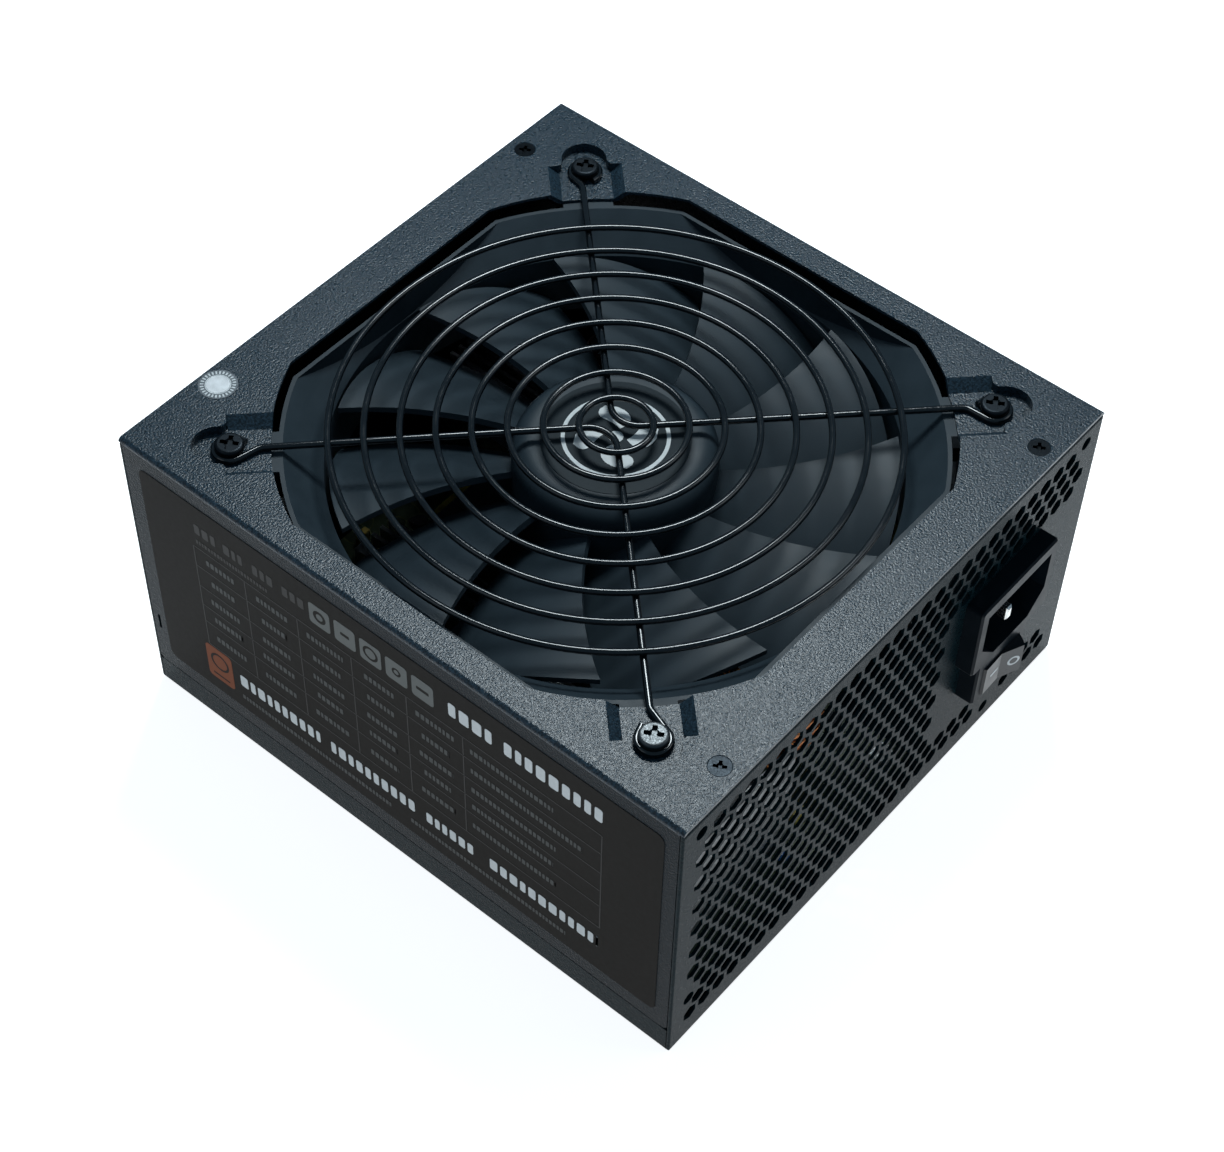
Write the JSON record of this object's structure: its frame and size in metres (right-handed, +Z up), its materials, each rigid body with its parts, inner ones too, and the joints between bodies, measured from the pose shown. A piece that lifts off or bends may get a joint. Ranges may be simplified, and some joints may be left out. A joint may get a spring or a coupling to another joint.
{
  "type": "power supply unit",
  "caption": "Boxed computer power supply with a large top fan behind a ringed wire guard, a honeycomb vented end with mains inlet and rocker switch, and a cable outlet.",
  "frame": {"origin": "centre of the bottom face", "axes": "+Z up out of the fan, -Y towards the vented end with the inlet and switch, +X towards the side nearer the inlet"},
  "size_m": [0.1501, 0.1694, 0.0866],
  "materials": {
    "cover_paint": "fine textured powder coat",
    "tray_paint": "smooth satin powder coat",
    "black_screw": "black oxide",
    "label_film": "matt printed film",
    "foil": "satin foil",
    "wire": "gloss black",
    "fan_plastic": "satin moulded",
    "sticker": "printed film",
    "housing_plastic": "satin moulded",
    "rocker_plastic": "satin moulded",
    "pin_metal": "nickel plated",
    "magnet": "matt",
    "steel": "satin",
    "bronze": "sintered",
    "copper": "enamelled wire",
    "board": "solder mask",
    "film": "matt film",
    "brass_part": "satin",
    "heatsink_metal": "extruded",
    "package": "matt moulded",
    "sleeve_black": "shrink sleeve",
    "sleeve_dark": "shrink sleeve",
    "ferrite": "matt ceramic",
    "tape": "polyester tape",
    "bobbin": "moulded",
    "powder_core": "coated powder core",
    "choke": "matt",
    "film_cap": "moulded box",
    "disc_blue": "dipped",
    "disc_green": "dipped",
    "ceramic": "matt ceramic",
    "grommet": "matt",
    "lead_black": "satin insulation",
    "lead_green": "satin insulation",
    "plug_white": "nylon"
  },
  "bodies": {
    "case": {"bottom_chassis": "tray_paint", "top_cover": "cover_paint", "cover_screws": "black_screw", "rating_label": "label_film", "seal_sticker": "foil", "wire_guard": "wire", "fan_screws": "black_screw", "inlet_housing": "housing_plastic", "inlet_pins": "pin_metal", "switch_terminals": "brass_part", "fan_frame": "fan_plastic", "bearing_sleeve": "bronze", "stator_core": "steel", "stator_coils": "copper", "motor_board": "board", "main_board": "board", "insulation_sheet": "film", "board_standoffs": "brass_part", "board_screws": "steel", "primary_heatsink": "heatsink_metal", "secondary_heatsink": "heatsink_metal", "bridge_heatsink": "heatsink_metal", "power_transistors": "package", "output_rectifiers": "package", "bridge_rectifier": "package", "bulk_capacitor": "sleeve_black", "output_capacitors": "sleeve_dark", "transformer_core": "ferrite", "transformer_winding": "tape", "transformer_foot": "bobbin", "standby_core": "ferrite", "standby_winding": "tape", "standby_foot": "bobbin", "boost_choke_core": "powder_core", "boost_choke_winding": "copper", "output_choke_core": "powder_core", "output_choke_winding": "copper", "filter_choke": "choke", "film_capacitors": "film_cap", "disc_capacitors": "disc_blue", "fuse": "ceramic", "inrush_limiter": "disc_green", "control_board": "board", "cable_grommet": "grommet", "mains_leads": "lead_black", "earth_lead": "lead_green", "earth_lug": "brass_part", "fan_lead": "lead_black", "fan_plug": "plug_white", "fan_header": "plug_white"},
    "fan_rotor": {"fan_impeller": "fan_plastic", "hub_sticker": "sticker", "rotor_yoke": "steel", "magnet_ring": "magnet", "fan_shaft": "steel", "shaft_clip": "steel"},
    "rocker": {"switch_rocker": "rocker_plastic", "switch_contact": "brass_part"}
  },
  "joints": [
    {"name": "fan_spin", "type": "hinge", "parent": "case", "child": "fan_rotor", "pos_m": [0, 0, 0.0703], "axis": [0, 0, 1], "continuous": true},
    {"name": "rocker_swing", "type": "hinge", "parent": "case", "child": "rocker", "pos_m": [0.039, -0.0819, 0.0326], "axis": [0, 0, 1], "range_deg": [0, 22]}
  ]
}
